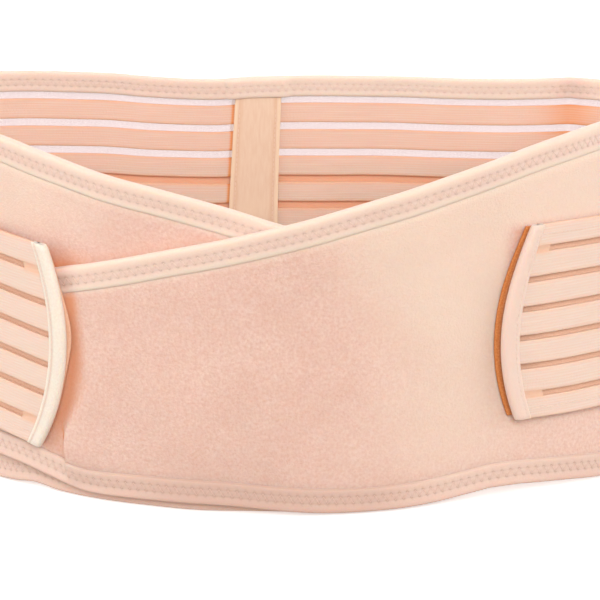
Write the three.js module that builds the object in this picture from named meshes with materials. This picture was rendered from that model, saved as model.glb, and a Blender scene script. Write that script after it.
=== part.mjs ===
// Postpartum belly band: a closed loop of elastic and plush cloth standing on its lower edge.
// Millimetres, +Z up, the front faces -Y, the waist is the hollow in the middle.
import * as THREE from 'three';

// Plan of the loop, seen from above: flat back, two round sides, one long front curve
const BACK_HALF = 150;
const BACK_RADIUS = 1400;
const SIDE_RADIUS = 44;
const FRONT_HEADING = THREE.MathUtils.degToRad(121);
const FRONT_Y = -89;

// Cloth thicknesses and the clearance between neighbours
const GAP = 0.3;
const ELASTIC = 1.6;
const PLUSH = 3;
const TAPE = 0.8;
const STAY = 2;
const PAD = 1.5;

// Where the pieces start and end, as lengths along the loop from the middle of the back
const SIDE_SEAM = 215;
const RIGHT_WING_END = 616;
const LEFT_WING_END = -579;
const STRAP_SEAM = -10;

// Upper edge of the band and lower edge of the outer wing: rows of [length along the loop, height]
const BACK_TOP = [
  [-215, 178], [-142, 179], [-91, 177.5], [-65, 175], [-33, 173.2],
  [-10, 174.9], [64, 175], [115, 174.2], [150, 175.7], [215, 176],
];
const RIGHT_TOP = [
  [215, 176], [278, 176], [310, 173.8], [351, 167], [398, 157.6],
  [450, 145], [495, 134], [537, 123.8], [565, 116.8], [616, 104],
];
const LEFT_TOP = [
  [-579, 112], [-500, 131], [-459, 141.6], [-434, 149], [-407, 155],
  [-382, 159.8], [-358, 164.4], [-337, 168.4], [-313, 173], [-260, 177.5], [-215, 178],
];
const RIGHT_BOTTOM = [
  [215, 0], [330, 0], [430, 0], [460, 2.5], [490, 5], [548, 5.2], [570, 10.5], [590, 13.5], [616, 15],
];
const BACK_TOP_MEAN = 175;

// Folded edge tape
const BINDING_HEIGHT = 12.2;
const BINDING_BEVEL = 0.6;
const TAPE_STEP = TAPE + GAP;

// Slit elastic of the back
const BACK_SLIT_COUNT = 11;
const BACK_SLIT_TOP = 162.6;
const BACK_SLIT_PITCH = 14.05;
const BACK_SLIT_HEIGHT = 3.7;
const BACK_SLIT_MARGIN = 12;
const BACK_BAR = [-17, -4];

// Stay tape on the inside of the back: rows of [height, centre along the loop]
const STAY_CENTRE = [[12, -11], [60, -13], [115, -12.7], [163, -9.5]];
const STAY_WIDTH = 23.6;

// Slit elastic straps and their round tab ends
const STRAP_HALF = 49;
const STRAP_SLIT_COUNT = 6;
const STRAP_SLIT_PITCH = 14.7;
const STRAP_SLIT_HEIGHT = 3;
const STRAP_ROOT_MARGIN = 12;
const TAB_LENGTH = 60;
const TAB_EDGE_WIDTH = 9.5;
const TAB_LONG_SLIT = 8.5;
const TAB_SHORT_SLIT = 18.5;
const PAD_LENGTH = 62;
const PAD_HALF = 48;

// Tab ends: reach of the strap from the middle of the back, how far the corners fall back from the arc's
// middle (bulge) and from each other (skew), how far the hook pad shows past the end, the share by which the
// strap narrows on its way round the side, and the share by which its tab flares
const RIGHT_TAB = { tip: 348.9, bulge: 11, skew: 4.4, padShows: 1.5, narrow: 0.035, flare: 0 };
const LEFT_TAB = { tip: 357.5, bulge: 12.5, skew: -2.6, padShows: 0.3, narrow: 0, flare: 0.04 };
const NARROW_FROM = 150;
const NARROW_TO = 285;

// Strap centre lines: rows of [length from the middle of the back, height]
const RIGHT_STRAP_CENTRE = [[-10, 79], [150, 80], [230, 82.8], [292, 85.9], [342, 87.4]];
const LEFT_STRAP_CENTRE = [[-352, 75], [-317, 80.6], [-285, 84.5], [-230, 84], [-150, 80], [-10, 79]];

// Depth of each layer off the plan, outward positive: rows of [length along the loop, offset]
const LEFT_WING_DEPTH = [[-288, -5.7], [-222, 0]];
const RIGHT_STRAP_DEPTH = [[182, 2], [208, 2.9], [240, 2.9], [292, 5.8], [318, 5.8], [349, 7.4]];
const LEFT_STRAP_DEPTH = [[-290, 6.5], [-238, 2.7], [-208, 2.7], [-182, 2]];
const RIGHT_PAD_DEPTH = 2.85;
const LEFT_PAD_DEPTH = 3.65;

// How far the foot of the right front stands out past its top: rows of [length along the loop, offset]
const LEAN = [[215, 0], [236, 2], [268, 14], [310, 9.5], [352, 0]];
const LEAN_TOP = 176;

// Steps along the loop that keep the facets smooth
const FLAT_STEP = 30;
const SIDE_STEP = 8.5;
const FRONT_STEP = 20;

// Smooth curve through rows of [position, value]
function curve(rows) {
  const positions = rows.map((row) => row[0]);
  const values = rows.map((row) => row[1]);
  const spline = new THREE.CubicInterpolant(positions, values, 1);
  return (at) => spline.evaluate(THREE.MathUtils.clamp(at, positions[0], positions.at(-1)))[0];
}

// Level runs joined by soft ramps through rows of [position, value], never past a row's value
function ramps(rows) {
  return (at) => {
    const next = rows.findIndex((row) => row[0] > at);
    if (next === -1) return rows.at(-1)[1];
    if (next === 0) return rows[0][1];
    const [before, after] = [rows[next - 1], rows[next]];
    const blend = THREE.MathUtils.smoothstep(at, before[0], after[0]);
    return THREE.MathUtils.lerp(before[1], after[1], blend);
  };
}

// The three arcs of one half of the plan; the heading turns from 0 at the back to 180 degrees at the front
function makePlan() {
  const normal = (heading) => new THREE.Vector2(Math.sin(heading), Math.cos(heading));
  const backHeading = BACK_HALF / BACK_RADIUS;
  const backCentre = new THREE.Vector2(0, -BACK_RADIUS);
  const sideCentre = normal(backHeading).multiplyScalar(BACK_RADIUS - SIDE_RADIUS).add(backCentre);
  const sideEnd = normal(FRONT_HEADING).multiplyScalar(SIDE_RADIUS).add(sideCentre);
  const frontRadius = sideEnd.x / Math.sin(FRONT_HEADING);
  const frontCentre = normal(FRONT_HEADING).multiplyScalar(-frontRadius).add(sideEnd);
  const sideLength = SIDE_RADIUS * (FRONT_HEADING - backHeading);
  const frontStart = BACK_HALF + sideLength;
  const half = frontStart + frontRadius * (Math.PI - FRONT_HEADING);
  const lift = FRONT_Y - (frontCentre.y - frontRadius);
  const leanAt = curve(LEAN);
  const point = (along, height, depth) => {
    const wrapped = THREE.MathUtils.euclideanModulo(along + half, 2 * half) - half;
    const offset = depth + leanAt(wrapped) * Math.max(0, 1 - height / LEAN_TOP);
    const run = Math.abs(wrapped);
    let heading = run / BACK_RADIUS;
    let centre = backCentre;
    let radius = BACK_RADIUS;
    if (run > frontStart) {
      heading = FRONT_HEADING + (run - frontStart) / frontRadius;
      centre = frontCentre;
      radius = frontRadius;
    } else if (run > BACK_HALF) {
      heading = backHeading + (run - BACK_HALF) / SIDE_RADIUS;
      centre = sideCentre;
      radius = SIDE_RADIUS;
    }
    const outward = normal(heading).multiplyScalar(radius + offset).add(centre);
    return [Math.sign(wrapped || 1) * outward.x, outward.y + lift, height];
  };
  return { point, half, frontStart };
}

const plan = makePlan();

// Positions along the loop between two ends, close together where the plan turns fast
function stations(from, to, extra = []) {
  const marks = [from, to, ...extra];
  const addRun = (start, end, step) => {
    const count = Math.round((end - start) / step);
    for (let k = 0; k <= count; k += 1) {
      marks.push(start + ((end - start) * k) / count);
    }
  };
  const loop = 2 * plan.half;
  addRun(-plan.frontStart - (loop - 2 * plan.frontStart), -plan.frontStart, FRONT_STEP);
  addRun(-plan.frontStart, -BACK_HALF, SIDE_STEP);
  addRun(-BACK_HALF, BACK_HALF, FLAT_STEP);
  addRun(BACK_HALF, plan.frontStart, SIDE_STEP);
  addRun(plan.frontStart, loop - plan.frontStart, FRONT_STEP);
  const kept = marks.filter((mark) => mark >= from && mark <= to).sort((a, b) => a - b);
  const fixed = new Set([from, to, ...extra]);
  const result = [];
  for (const mark of kept) {
    const close = result.length > 0 && mark - result.at(-1) < 2.5;
    if (!close) {
      result.push(mark);
    } else if (fixed.has(mark) && !fixed.has(result.at(-1))) {
      result[result.length - 1] = mark;
    } else if (fixed.has(mark) && mark !== result.at(-1)) {
      result.push(mark);
    }
  }
  return result;
}

// Closed body from points and faces, turned so that its faces look outward
function body(points, faces) {
  let volume = 0;
  const corner = (k) => new THREE.Vector3(...points[k]);
  for (const [a, b, c] of faces) {
    volume += corner(a).dot(corner(b).cross(corner(c)));
  }
  const turned = volume < 0 ? faces.map(([a, b, c]) => [a, c, b]) : faces;
  const geometry = new THREE.BufferGeometry();
  geometry.setAttribute('position', new THREE.Float32BufferAttribute(points.flat(), 3));
  geometry.setIndex(turned.flat());
  const flat = geometry.toNonIndexed();
  flat.computeVertexNormals();
  return flat;
}

// Cloth sheet on a grid: at(u, v) gives {along, height, depth} of the middle of the cloth,
// isOpen(column, row) tells which cells are cut away
function sheet(us, vs, thickness, at, isOpen = () => false) {
  const points = [];
  for (const u of us) {
    for (const v of vs) {
      const { along, height, depth } = at(u, v);
      points.push(plan.point(along, height, depth - thickness / 2));
      points.push(plan.point(along, height, depth + thickness / 2));
    }
  }
  const faces = [];
  const quad = (a, b, c, d) => faces.push([a, b, c], [a, c, d]);
  const inner = (i, j) => 2 * (i * vs.length + j);
  const outer = (i, j) => inner(i, j) + 1;
  const columns = us.length - 1;
  const rows = vs.length - 1;
  const solid = (i, j) => i >= 0 && j >= 0 && i < columns && j < rows && !isOpen(i, j);
  for (let i = 0; i < columns; i += 1) {
    for (let j = 0; j < rows; j += 1) {
      if (!solid(i, j)) continue;
      quad(outer(i, j), outer(i, j + 1), outer(i + 1, j + 1), outer(i + 1, j));
      quad(inner(i, j), inner(i + 1, j), inner(i + 1, j + 1), inner(i, j + 1));
      if (!solid(i - 1, j)) quad(inner(i, j), inner(i, j + 1), outer(i, j + 1), outer(i, j));
      if (!solid(i + 1, j)) {
        quad(inner(i + 1, j), outer(i + 1, j), outer(i + 1, j + 1), inner(i + 1, j + 1));
      }
      if (!solid(i, j - 1)) quad(inner(i, j), outer(i, j), outer(i + 1, j), inner(i + 1, j));
      if (!solid(i, j + 1)) {
        quad(inner(i, j + 1), inner(i + 1, j + 1), outer(i + 1, j + 1), outer(i, j + 1));
      }
    }
  }
  return body(points, faces);
}

// Tape folded over a cloth edge: each path row gives the fold line {along, height}, the direction
// {alongIn, heightIn} from the fold into the cloth, the cloth's depthAt and half its thickness
function foldedTape(path, width) {
  const sectionOf = (half) => {
    const inside = half + GAP;
    const outside = inside + TAPE;
    const flat = outside - BINDING_BEVEL;
    return [
      [width, -outside], [BINDING_BEVEL, -outside], [0, -flat], [0, flat], [BINDING_BEVEL, outside],
      [width, outside], [width, inside], [TAPE, inside], [TAPE, -inside], [width, -inside],
    ];
  };
  const points = [];
  const size = sectionOf(1).length;
  for (const row of path) {
    for (const [inward, offset] of sectionOf(row.half)) {
      const along = row.along + inward * row.alongIn;
      const height = row.height + inward * row.heightIn;
      points.push(plan.point(along, height, row.depthAt(along) + offset));
    }
  }
  const faces = [];
  for (let i = 0; i + 1 < path.length; i += 1) {
    for (let k = 0; k < size; k += 1) {
      const a = i * size + k;
      const b = i * size + ((k + 1) % size);
      faces.push([a, b, b + size], [a, b + size, a + size]);
    }
  }
  const contour = sectionOf(path[0].half).map(([x, y]) => new THREE.Vector2(x, y));
  const forward = THREE.ShapeUtils.isClockWise(contour) ? -1 : 1;
  const last = (path.length - 1) * size;
  for (const [a, b, c] of THREE.ShapeUtils.triangulateShape(contour, [])) {
    const start = forward > 0 ? [a, c, b] : [a, b, c];
    const end = forward > 0 ? [a, b, c] : [a, c, b];
    faces.push(start, end.map((k) => k + last));
  }
  return body(points, faces);
}

// Path of a folded tape along an upper or lower edge; sign is -1 where the cloth hangs below the fold
function edgePath(from, to, heightAt, depthAt, halfAt, sign) {
  return stations(from, to).map((along) => {
    const slope = (heightAt(along + 1) - heightAt(along - 1)) / 2;
    const size = Math.hypot(1, slope);
    return {
      along,
      height: heightAt(along),
      depthAt,
      half: halfAt(along),
      alongIn: (-sign * slope) / size,
      heightIn: sign / size,
    };
  });
}

const backTop = curve(BACK_TOP);
const rightTop = curve(RIGHT_TOP);
const leftTop = curve(LEFT_TOP);
const rightBottomCurve = curve(RIGHT_BOTTOM);
const rightBottom = (along) => Math.max(0, rightBottomCurve(along));
const leftWingDepth = ramps(LEFT_WING_DEPTH);
const onFloor = () => 0;
const onPlan = () => 0;
const plushHalf = () => PLUSH / 2;

// The back is thinner than the wings; the tape thickens towards the side seams to meet them
function backHalf(along) {
  const blend = THREE.MathUtils.smoothstep(Math.abs(along), SIDE_SEAM - 30, SIDE_SEAM);
  return THREE.MathUtils.lerp(ELASTIC / 2, PLUSH / 2, blend);
}

function backPanel() {
  const end = SIDE_SEAM - GAP / 2;
  const slitEnd = SIDE_SEAM - BACK_SLIT_MARGIN;
  const us = stations(-end, end, [-slitEnd, ...BACK_BAR, slitEnd]);
  const vs = [TAPE_STEP];
  for (let k = BACK_SLIT_COUNT - 1; k >= 0; k -= 1) {
    const centre = BACK_SLIT_TOP - k * BACK_SLIT_PITCH;
    vs.push(centre - BACK_SLIT_HEIGHT / 2, centre + BACK_SLIT_HEIGHT / 2);
  }
  vs.push(BACK_TOP_MEAN - TAPE_STEP);
  const at = (u, v) => ({
    along: u,
    height: v + ((backTop(u) - BACK_TOP_MEAN) * (v - TAPE_STEP)) / (BACK_TOP_MEAN - 2 * TAPE_STEP),
    depth: 0,
  });
  const isOpen = (i, j) => {
    const middle = (us[i] + us[i + 1]) / 2;
    const inBar = middle > BACK_BAR[0] && middle < BACK_BAR[1];
    return j % 2 === 1 && Math.abs(middle) < slitEnd && !inBar;
  };
  return sheet(us, vs, ELASTIC, at, isOpen);
}

function backStay() {
  const centre = curve(STAY_CENTRE);
  const low = BINDING_HEIGHT + GAP;
  const vs = [];
  for (let k = 0; k <= 8; k += 1) {
    vs.push(k / 8);
  }
  const at = (u, v) => {
    const along = centre(THREE.MathUtils.lerp(low, BACK_TOP_MEAN - BINDING_HEIGHT, v)) + u;
    const high = backTop(along) - BINDING_HEIGHT - 2 * GAP;
    return { along, height: THREE.MathUtils.lerp(low, high, v), depth: -(ELASTIC + STAY) / 2 - GAP };
  };
  return sheet([-STAY_WIDTH / 2, 0, STAY_WIDTH / 2], vs, STAY, at);
}

function wing(from, to, topAt, bottomAt, depthAt) {
  const vs = [0, 0.08, 0.36, 0.64, 0.92, 1];
  const at = (u, v) => ({
    along: u,
    height: THREE.MathUtils.lerp(bottomAt(u) + TAPE_STEP + 0.1, topAt(u) - TAPE_STEP - 0.1, v),
    depth: depthAt(u),
  });
  return sheet(stations(from, to), vs, PLUSH, at);
}

// Shape of one strap: side is +1 for the right one, -1 for the left one
function strapShape(side) {
  const { tip, bulge, skew, narrow, flare } = side > 0 ? RIGHT_TAB : LEFT_TAB;
  const centre = curve(side > 0 ? RIGHT_STRAP_CENTRE : LEFT_STRAP_CENTRE);
  const depth = ramps(side > 0 ? RIGHT_STRAP_DEPTH : LEFT_STRAP_DEPTH);
  const at = (u, v) => {
    const tab = THREE.MathUtils.clamp((u - tip + TAB_LENGTH) / TAB_LENGTH, 0, 1.1);
    const across = v / STRAP_HALF;
    const along = side * (u - tab * (bulge * across * across + skew * across));
    const share = 1 + flare * tab - narrow * THREE.MathUtils.smoothstep(u, NARROW_FROM, NARROW_TO);
    return { along, height: centre(along) + v * share, depth: depth(along) };
  };
  return { tip, at, depth };
}

function strap(side) {
  const { tip, at } = strapShape(side);
  const root = side * STRAP_SEAM + GAP / 2;
  const slitStart = root + STRAP_ROOT_MARGIN;
  const slitEnd = tip - TAB_LONG_SLIT;
  const shortSlitEnd = tip - TAB_SHORT_SLIT;
  const us = stations(root, tip - TAPE_STEP - GAP, [slitStart, shortSlitEnd, slitEnd]);
  const vs = [-STRAP_HALF];
  for (let k = 0; k < STRAP_SLIT_COUNT; k += 1) {
    const middle = (k - (STRAP_SLIT_COUNT - 1) / 2) * STRAP_SLIT_PITCH;
    vs.push(middle - STRAP_SLIT_HEIGHT / 2, middle + STRAP_SLIT_HEIGHT / 2);
  }
  vs.push(STRAP_HALF);
  const isOpen = (i, j) => {
    const middle = (us[i] + us[i + 1]) / 2;
    const outermost = j === 1 || j === vs.length - 3;
    return j % 2 === 1 && middle > slitStart && middle < (outermost ? shortSlitEnd : slitEnd);
  };
  return sheet(us, vs, ELASTIC, at, isOpen);
}

// Folded tape round the curved end of a strap
function tabEdge(side) {
  const { tip, at, depth } = strapShape(side);
  const count = 12;
  const path = [];
  for (let k = 0; k <= count; k += 1) {
    const v = STRAP_HALF * ((2 * k) / count - 1);
    const { along, height } = at(tip, v);
    const below = at(tip, v - 0.5);
    const above = at(tip, v + 0.5);
    const run = above.along - below.along;
    const rise = above.height - below.height;
    const size = Math.hypot(run, rise);
    const [alongIn, heightIn] = [(-side * rise) / size, (side * run) / size];
    path.push({ along, height, alongIn, heightIn, depthAt: depth, half: ELASTIC / 2 });
  }
  return foldedTape(path, TAB_EDGE_WIDTH);
}

// Hook pad under a tab, its edge just showing past the tab end
function hookPad(side) {
  const { tip, at } = strapShape(side);
  const depth = side > 0 ? RIGHT_PAD_DEPTH : LEFT_PAD_DEPTH;
  const { padShows } = side > 0 ? RIGHT_TAB : LEFT_TAB;
  const us = [];
  for (let k = 0; k <= 5; k += 1) {
    us.push(tip + padShows - PAD_LENGTH + (PAD_LENGTH * k) / 5);
  }
  const vs = [];
  for (let k = 0; k <= 10; k += 1) {
    vs.push(PAD_HALF * (k / 5 - 1));
  }
  return sheet(us, vs, PAD, (u, v) => ({ ...at(u, v), depth }));
}

function cloth(color, roughness) {
  return new THREE.MeshStandardMaterial({ color, roughness, metalness: 0 });
}

const elastic = cloth(0xf0c4ad, 0.85);
const plush = cloth(0xf1c8b2, 0.95);
const binding = cloth(0xf5d9c5, 0.9);
const stayTape = cloth(0xf2c9ad, 0.85);
const tabTape = cloth(0xf6dfc8, 0.85);
const hooks = cloth(0xe6b796, 0.7);

const seam = SIDE_SEAM + GAP / 2;
const backEnd = SIDE_SEAM - GAP / 2;
const TOP = -1;
const BOTTOM = 1;

const pieces = [
  ['back_panel', elastic, backPanel()],
  ['back_stay', stayTape, backStay()],
  ['left_wing', plush, wing(LEFT_WING_END, -seam, leftTop, onFloor, leftWingDepth)],
  ['right_wing', plush, wing(seam, RIGHT_WING_END, rightTop, rightBottom, onPlan)],
  ['left_strap', elastic, strap(-1)],
  ['right_strap', elastic, strap(1)],
  ['left_tab_edge', tabTape, tabEdge(-1)],
  ['right_tab_edge', tabTape, tabEdge(1)],
  ['left_hook_pad', hooks, hookPad(-1)],
  ['right_hook_pad', hooks, hookPad(1)],
];

const edges = [
  ['top_binding_back', -backEnd, backEnd, backTop, onPlan, backHalf, TOP],
  ['top_binding_left', LEFT_WING_END, -seam, leftTop, leftWingDepth, plushHalf, TOP],
  ['top_binding_right', seam, RIGHT_WING_END, rightTop, onPlan, plushHalf, TOP],
  ['bottom_binding_back', -backEnd, backEnd, onFloor, onPlan, backHalf, BOTTOM],
  ['bottom_binding_left', LEFT_WING_END, -seam, onFloor, leftWingDepth, plushHalf, BOTTOM],
  ['bottom_binding_right', seam, RIGHT_WING_END, rightBottom, onPlan, plushHalf, BOTTOM],
];
for (const [name, from, to, heightAt, depthAt, halfAt, sign] of edges) {
  const path = edgePath(from, to, heightAt, depthAt, halfAt, sign);
  pieces.push([name, binding, foldedTape(path, BINDING_HEIGHT)]);
}

const band = new THREE.Group();
band.name = 'postpartum_belly_band';
for (const [name, material, geometry] of pieces) {
  const mesh = new THREE.Mesh(geometry, material);
  mesh.name = name;
  band.add(mesh);
}

export default band;
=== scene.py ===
import math

import bpy
import numpy as np
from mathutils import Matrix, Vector


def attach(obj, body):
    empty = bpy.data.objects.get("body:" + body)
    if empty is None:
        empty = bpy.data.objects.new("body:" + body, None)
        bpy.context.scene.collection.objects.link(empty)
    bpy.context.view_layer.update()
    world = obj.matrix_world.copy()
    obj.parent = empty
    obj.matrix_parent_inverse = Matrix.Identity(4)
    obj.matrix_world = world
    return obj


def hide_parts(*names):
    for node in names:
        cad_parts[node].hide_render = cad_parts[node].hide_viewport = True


# Looks of a postpartum belly band: slit elastic, plush wings, folded edge tape, tab ends and stitches.
# The sizes below are in millimetres in the part's frame; the scene itself is in metres.
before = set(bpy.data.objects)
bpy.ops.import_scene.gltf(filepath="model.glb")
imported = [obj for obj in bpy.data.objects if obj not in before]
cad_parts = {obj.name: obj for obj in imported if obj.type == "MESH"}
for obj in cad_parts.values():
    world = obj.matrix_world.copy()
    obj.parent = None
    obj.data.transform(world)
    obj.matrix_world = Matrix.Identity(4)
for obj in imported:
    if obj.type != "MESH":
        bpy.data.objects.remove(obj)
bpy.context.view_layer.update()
MM = 0.001

# Plan of the loop, seen from above: flat back, two round sides, one long front curve
BACK_HALF = 150.0
BACK_RADIUS = 1400.0
SIDE_RADIUS = 44.0
FRONT_HEADING = math.radians(121)
FRONT_Y = -89.0

# Cloth thicknesses and the clearance between neighbours
GAP = 0.3
ELASTIC = 1.6
PLUSH = 3.0
TAPE = 0.8
STAY = 2.0
PAD = 1.5

# Where the pieces start and end, as lengths along the loop from the middle of the back
SIDE_SEAM = 215.0
RIGHT_WING_END = 616.0
LEFT_WING_END = -579.0
STRAP_SEAM = -10.0

# Upper and lower edge of the band: rows of (length along the loop, height)
TOP_EDGE = [
    (-579, 112), (-500, 131), (-459, 141.6), (-434, 149), (-407, 155), (-382, 159.8), (-358, 164.4),
    (-337, 168.4), (-313, 173), (-260, 177.5), (-215, 178), (-142, 179), (-91, 177.5), (-65, 175),
    (-33, 173.2), (-10, 174.9), (64, 175), (115, 174.2), (150, 175.7), (215, 176), (278, 176),
    (310, 173.8), (351, 167), (375, 161.8), (398, 156.2), (450, 143.1), (495, 132.1), (537, 121.9),
    (565, 115.1), (616, 102.5),
]
BOTTOM_EDGE = [
    (-579, 4.6), (-563, 4.2), (-550, 2.8), (-535, 1.4), (-515, 0.3), (-490, 0), (-362, 0), (-346, 0.6),
    (-332, 2.4), (-318, 0.9), (-304, 0), (215, 0), (290, 1.2), (312, 3.4), (325, 4.4), (338, 5.2),
    (351, 4.8), (364, 3.4), (380, 1.6), (400, 0.8), (430, 0.8), (460, 2.5), (490, 4.7), (548, 4.6),
    (560, 6.4), (570, 9), (590, 13.5), (616, 15),
]

# Slit elastic of the back, its bare slit threads, the uncut bar behind the stay and the crease at its right
BACK_SLIT_COUNT = 11
BACK_SLIT_TOP = 162.6
BACK_SLIT_PITCH = 14.05
BACK_SLIT_HEIGHT = 3.9
SLIT_THREAD = 0.15
SLIT_THREAD_STEP = 0.42
BACK_SLIT_MARGIN = 12.0
BACK_BAR = (-17.0, -4.0)
BACK_TOP_MEAN = 175.0
CREASE = 151.0

# Stay tape on the inside of the back: rows of (height, centre along the loop)
STAY_CENTRE = [(12, -11), (60, -12.5), (106, -11.8), (163, -9.2)]
STAY_WIDTH = 23.6
STAY_FOOT_SHARE = 1.2
STAY_SEAM = 2.6
STAY_UNDER_TAPE = 6.0
STAY_BULGE = 2.3

# Slit elastic straps and their round tab ends
STRAP_HALF = 49.0
STRAP_MIDDLE = 79.0
STRAP_SLIT_COUNT = 6
STRAP_SLIT_PITCH = 14.7
STRAP_SLIT_HEIGHT = 3.0
STRAP_ROOT_MARGIN = 12.0
STRAP_ROOT_ROW = 5.0
STRAP_EDGE_ROW = STRAP_HALF - 5.0
TAB_LENGTH = 60.0
TAB_EDGE_WIDTH = 8.2
TAB_STITCH = 6.3
TAB_LONG_SLIT = 8.5
TAB_SHORT_SLIT = 18.5
PAD_LENGTH = 62.0
PAD_HALF = 48.0

# Tab ends at the right (1) and the left (-1): reach of the strap from the middle of the back, how far the
# corners fall back from the arc's middle (bulge) and from each other (skew), how far the hook pad shows
# past the end and how much further at its peak, how strongly shadow is painted on its rim, the share by
# which the strap narrows round the side, the share by which its tab flares, and how pink the tape is
TABS = {
    1: {"tip": 348.9, "bulge": 11.0, "skew": 4.4, "pad_shows": 1.0, "pad_peak": 0.0, "pad_rim_shade": 1.0,
        "narrow": 0.035, "flare": 0.0, "rosy": 0.9},
    -1: {"tip": 357.5, "bulge": 12.5, "skew": -2.6, "pad_shows": -1.0, "pad_peak": 2.3, "pad_rim_shade": 0.1,
         "narrow": 0.0, "flare": 0.04, "rosy": 0.0},
}
NARROW_FROM = 150.0
NARROW_TO = 285.0
PAD_PEAK_AT = 8.0
PAD_PEAK_RUN = 15.0

# Strap centre lines and depths off the plan, outward positive: rows of (length, value)
STRAP_CENTRE = {
    1: [(-10, 79), (150, 80), (230, 82.8), (292, 85.9), (342, 87.4)],
    -1: [(-352, 75), (-317, 80.6), (-285, 84.5), (-230, 84), (-150, 79.4), (-10, 78.4)],
}
STRAP_DEPTH = {
    1: [(182, 2), (208, 2.9), (240, 2.9), (292, 5.8), (318, 5.8), (349, 7.4)],
    -1: [(-290, 6.5), (-238, 2.7), (-208, 2.7), (-182, 2)],
}
STRAP_ROOT_DEPTH = 2.0
# Painted orange shade on the straps' inner face, seen through the back's lower slits
STRAP_INNER_SHADE = -0.62
PAD_DEPTH = {1: 2.85, -1: 3.65}
LEFT_WING_DEPTH = [(-288, -5.7), (-222, 0)]

# How far the foot of the right front stands out past its top
LEAN = [(215, 0), (236, 2), (268, 14), (310, 9.5), (352, 0)]
LEAN_TOP = 176.0

# How far the lower edge of the front turns out, and how high up that starts
LOWER_FLARE = 1.0
LOWER_FLARE_RISE = 24.0

# Soft ridge that the right wing makes beside the left tab: rows of (height, length along the loop) for its
# foot and crest, and of (height, rise) for how far it stands out
RIDGE_FOOT = [(19, 562), (29, 562.8), (38, 563.6), (53, 560), (72, 557), (97, 558), (115, 559)]
RIDGE_CREST = [(19, 560.4), (29, 560.6), (38, 557), (53, 548.5), (72, 547), (97, 550), (115, 552)]
RIDGE_RISE = [(8, 0), (22, 3.4), (40, 3.6), (75, 2.8), (100, 1.8), (116, 1.0)]
# Rows of (height, share) for how strongly shade is painted on the nap in the hollow at the ridge's foot
HOLLOW_SHADE = [(8, 0), (24, 0.2), (30, 0.35), (40, 0.7), (60, 0.76), (80, 0.82), (115, 0.8)]
RIDGE_RUN = 45.0
# Lengths along the loop between which the wing's grid is finer, for the ridge
FINE_FROM = 542.0
FINE_TO = 566.0
FINE_STEP = 0.6

# Painted light on the nap towards the right side: strength, where it starts and over what length it grows,
# how far the start moves for each millimetre above a height, and a low patch of it
PALE = 0.78
PALE_START = 430.0
PALE_RUN = 60.0
PALE_SLANT = 0.6
PALE_SLANT_FROM = 85.0
LOW_PALE = 0.45
LOW_PALE_AT = 372.0
LOW_PALE_RUN = 38.0

# Where shade is painted on the left wing's nap beside the left tab, and where it is painted on the upper
# edge tape there
LEFT_NOOK = -345.0
TAB_SHADE_AT = 562.0
# How far along the loop the straps shade the wings below them
STRAP_SHADE = (338.0, 348.0)

# Painted shade low on the front: strength, the heights it runs between, and its middle and run along the
# loop
LOW_SHADE = 0.3
LOW_SHADE_TOP = 70.0
LOW_SHADE_FOOT = 8.0
LOW_SHADE_MIDDLE = 482.0
LOW_SHADE_RUN = 60.0

# Folded edge tape and its zigzag stitches
BINDING_WIDTH = 12.4
BACK_BINDING_SHARE = 0.86
ZIGZAG_LOW = 5.2
ZIGZAG_HIGH = 8.4
ZIGZAG_STEP = 4.1
# Painted shade on the inner rim of the lower edge tape
RIM_SHADE = 0.35
# Rows of (length along the loop, tone) for the lower edge tape: painted shade, deepest low on the front
BOTTOM_SHADE = [
    (-579, -0.3), (215, -0.2), (300, -0.36), (345, -0.2), (375, -0.2), (415, -0.6), (505, -0.66),
    (540, -0.35), (570, -0.1),
]
THREAD = 0.17

# Running stitches: length and step
STAY_STITCHES = (1.9, 2.6)
TAB_STITCHES = (1.7, 2.4)
STRAP_STITCHES = (1.8, 2.6)
ROOT_STITCHES = (2.0, 2.8)

# Flat wide seams that join the back to the wings
SEAM_WIDTH = 5.0
SEAM_STEP = 1.5
SEAM_TOP = 176.0
SEAM_THREAD = 0.2

# How much brighter than a plain white card the studio light makes white cloth
STUDIO_LIGHT = 1.25
SKY_ABOVE = (0.46, 0.42, 0.38, 1.0)
SKY_BELOW = (0.42, 0.30, 0.22, 1.0)

# Floor under the object, in metres
FLOOR_SIZE = 12.0
FLOOR_DROP = 0.0003

# View that the object is shown in
TARGET = (0.0, 0.0, 90.0)
ELEVATION = math.radians(16)
DISTANCE = 1500.0
FOCAL_PIXELS = 3024.0
PICTURE = 600.0
CENTRE_PIXEL = (276.0, 281.3)
SENSOR = 36.0


def curve(rows):
    """Smooth curve through rows of (position, value), level past both ends."""
    t, v = np.array(rows, float).T
    slope = np.empty_like(v)
    slope[1:-1] = (v[2:] - v[:-2]) / (t[2:] - t[:-2])
    slope[0] = (3 * (v[1] - v[0]) / (t[1] - t[0]) - slope[1]) / 2
    slope[-1] = (3 * (v[-1] - v[-2]) / (t[-1] - t[-2]) - slope[-2]) / 2

    def at(x):
        x = np.clip(x, t[0], t[-1])
        i = np.clip(np.searchsorted(t, x, side="right") - 1, 0, len(t) - 2)
        run = t[i + 1] - t[i]
        s = (x - t[i]) / run
        start = v[i] * (1 + 2 * s) * (1 - s) ** 2 + slope[i] * run * s * (1 - s) ** 2
        end = v[i + 1] * s * s * (3 - 2 * s) - slope[i + 1] * run * s * s * (1 - s)
        return start + end

    return at


def smooth(low, high, x):
    """Soft step from 0 at low to 1 at high."""
    s = np.clip((x - low) / (high - low), 0, 1)
    return s * s * (3 - 2 * s)


def hump(x, middle, run):
    """Soft hump, 1 in its middle and near 0 beyond twice its run."""
    return np.exp(-((x - middle) / run) ** 2)


def rounded(distance, radius):
    """Quarter round: 0 at an edge, 1 from that distance on."""
    return np.sqrt(np.clip(1 - (1 - np.clip(distance / radius, 0, 1)) ** 2, 0, 1))


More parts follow.
